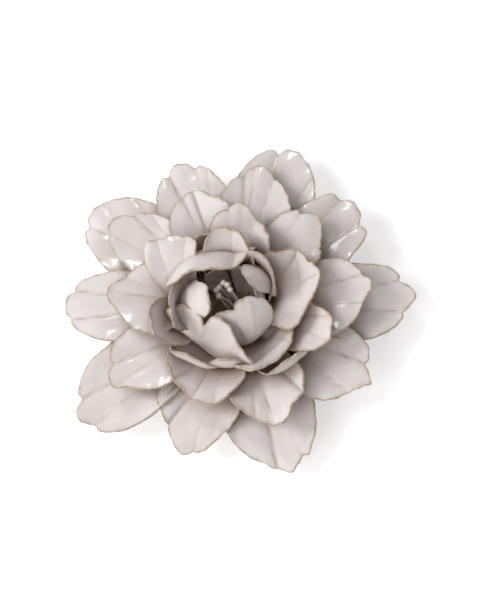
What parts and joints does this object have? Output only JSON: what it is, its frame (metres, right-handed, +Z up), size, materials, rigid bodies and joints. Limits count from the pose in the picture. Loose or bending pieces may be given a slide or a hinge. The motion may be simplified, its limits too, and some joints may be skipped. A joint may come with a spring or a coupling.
{
  "type": "ceramic peony blossom",
  "caption": "Open peony blossom in glazed ceramic: overlapping cupped petals around a half-closed bud with stamens, on a flat round foot.",
  "frame": {"origin": "middle of the foot's flat underside", "axes": "+Z straight up out of the blossom; +X to the right and +Y to the top of the usual view from above"},
  "size_m": [0.1531, 0.1426, 0.0463],
  "materials": {
    "glaze": "glossy pale grey-pink glaze, thin and tan along the petals' rims",
    "bare_clay": "matt unglazed clay"
  },
  "bodies": {
    "root": {"bud_petal_1": "glaze", "bud_petal_2": "glaze", "bud_petal_3": "glaze", "bud_petal_4": "glaze", "bud_petal_5": "glaze", "bud_petal_6": "glaze", "bud_petal_7": "glaze", "bud_petal_8": "glaze", "bud_petal_9": "glaze", "bud_petal_10": "glaze", "bud_petal_11": "glaze", "bud_petal_12": "glaze", "third_petal_1": "glaze", "third_petal_2": "glaze", "third_petal_3": "glaze", "third_petal_4": "glaze", "third_petal_5": "glaze", "third_petal_6": "glaze", "third_petal_7": "glaze", "third_petal_8": "glaze", "third_petal_9": "glaze", "third_petal_10": "glaze", "third_petal_11": "glaze", "second_petal_1": "glaze", "second_petal_2": "glaze", "second_petal_3": "glaze", "second_petal_4": "glaze", "second_petal_5": "glaze", "second_petal_6": "glaze", "second_petal_7": "glaze", "outer_petal_1": "glaze", "outer_petal_2": "glaze", "outer_petal_3": "glaze", "outer_petal_4": "glaze", "outer_petal_5": "glaze", "outer_petal_6": "glaze", "outer_petal_7": "glaze", "outer_petal_8": "glaze", "outer_petal_9": "glaze", "outer_petal_10": "glaze", "receptacle": "glaze", "stamen_1": "glaze", "stamen_2": "glaze", "stamen_3": "glaze", "stamen_4": "glaze", "stamen_5": "glaze", "stamen_6": "glaze", "foot": "bare_clay"}
  },
  "joints": []
}
